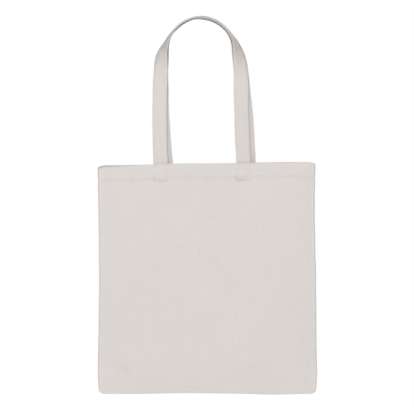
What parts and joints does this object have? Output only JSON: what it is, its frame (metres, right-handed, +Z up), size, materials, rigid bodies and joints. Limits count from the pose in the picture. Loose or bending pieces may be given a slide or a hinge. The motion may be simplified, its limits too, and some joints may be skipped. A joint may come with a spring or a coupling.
{
  "type": "canvas tote bag",
  "caption": "Flat open-topped canvas tote bag with a turned hem and two long strap handles, hanging empty from its handles.",
  "frame": {"origin": "where the hook carries the two handles: under the top of their arches, midway between them", "axes": "+Z up as the bag hangs, +Y from the front panel to the back panel, +X to the right seen from the front"},
  "size_m": [0.381, 0.0528, 0.6594],
  "materials": {
    "canvas": "unbleached plain-weave cotton, matte",
    "strap_canvas": "the same cotton, folded and sewn flat, matte",
    "thread": "unbleached cotton sewing thread"
  },
  "bodies": {
    "seams": {"bottom_seam": "canvas", "left_side_seam": "canvas", "right_side_seam": "canvas", "bottom_seam_overlock": "thread", "left_seam_overlock": "thread", "right_seam_overlock": "thread"},
    "front_panel": {"front_panel": "canvas", "front_hem_stitching": "thread", "front_left_strap_end": "strap_canvas", "front_right_strap_end": "strap_canvas", "front_left_box_stitch": "thread", "front_right_box_stitch": "thread"},
    "back_panel": {"back_panel": "canvas", "back_hem_stitching": "thread", "back_left_strap_end": "strap_canvas", "back_right_strap_end": "strap_canvas", "back_left_box_stitch": "thread", "back_right_box_stitch": "thread"},
    "front_handle": {"front_handle": "strap_canvas", "front_handle_stitching": "thread"},
    "back_handle": {"back_handle": "strap_canvas", "back_handle_stitching": "thread"}
  },
  "joints": [
    {"name": "front_mouth_lean", "type": "hinge", "parent": "seams", "child": "front_panel", "pos_m": [0.0104, -0.0015, -0.657], "axis": [1, 0, 0], "range_deg": [0, 6.5]},
    {"name": "back_mouth_lean", "type": "hinge", "parent": "seams", "child": "back_panel", "pos_m": [0.0104, 0.0015, -0.657], "axis": [-1, 0, 0], "range_deg": [0, 6.5]},
    {"name": "front_handle_fold", "type": "hinge", "parent": "front_panel", "child": "front_handle", "pos_m": [0.0104, -0.0088, -0.254], "axis": [1, 0, 0], "range_deg": [0, 170]},
    {"name": "back_handle_fold", "type": "hinge", "parent": "back_panel", "child": "back_handle", "pos_m": [0.0104, 0.0088, -0.254], "axis": [-1, 0, 0], "range_deg": [0, 170]}
  ]
}
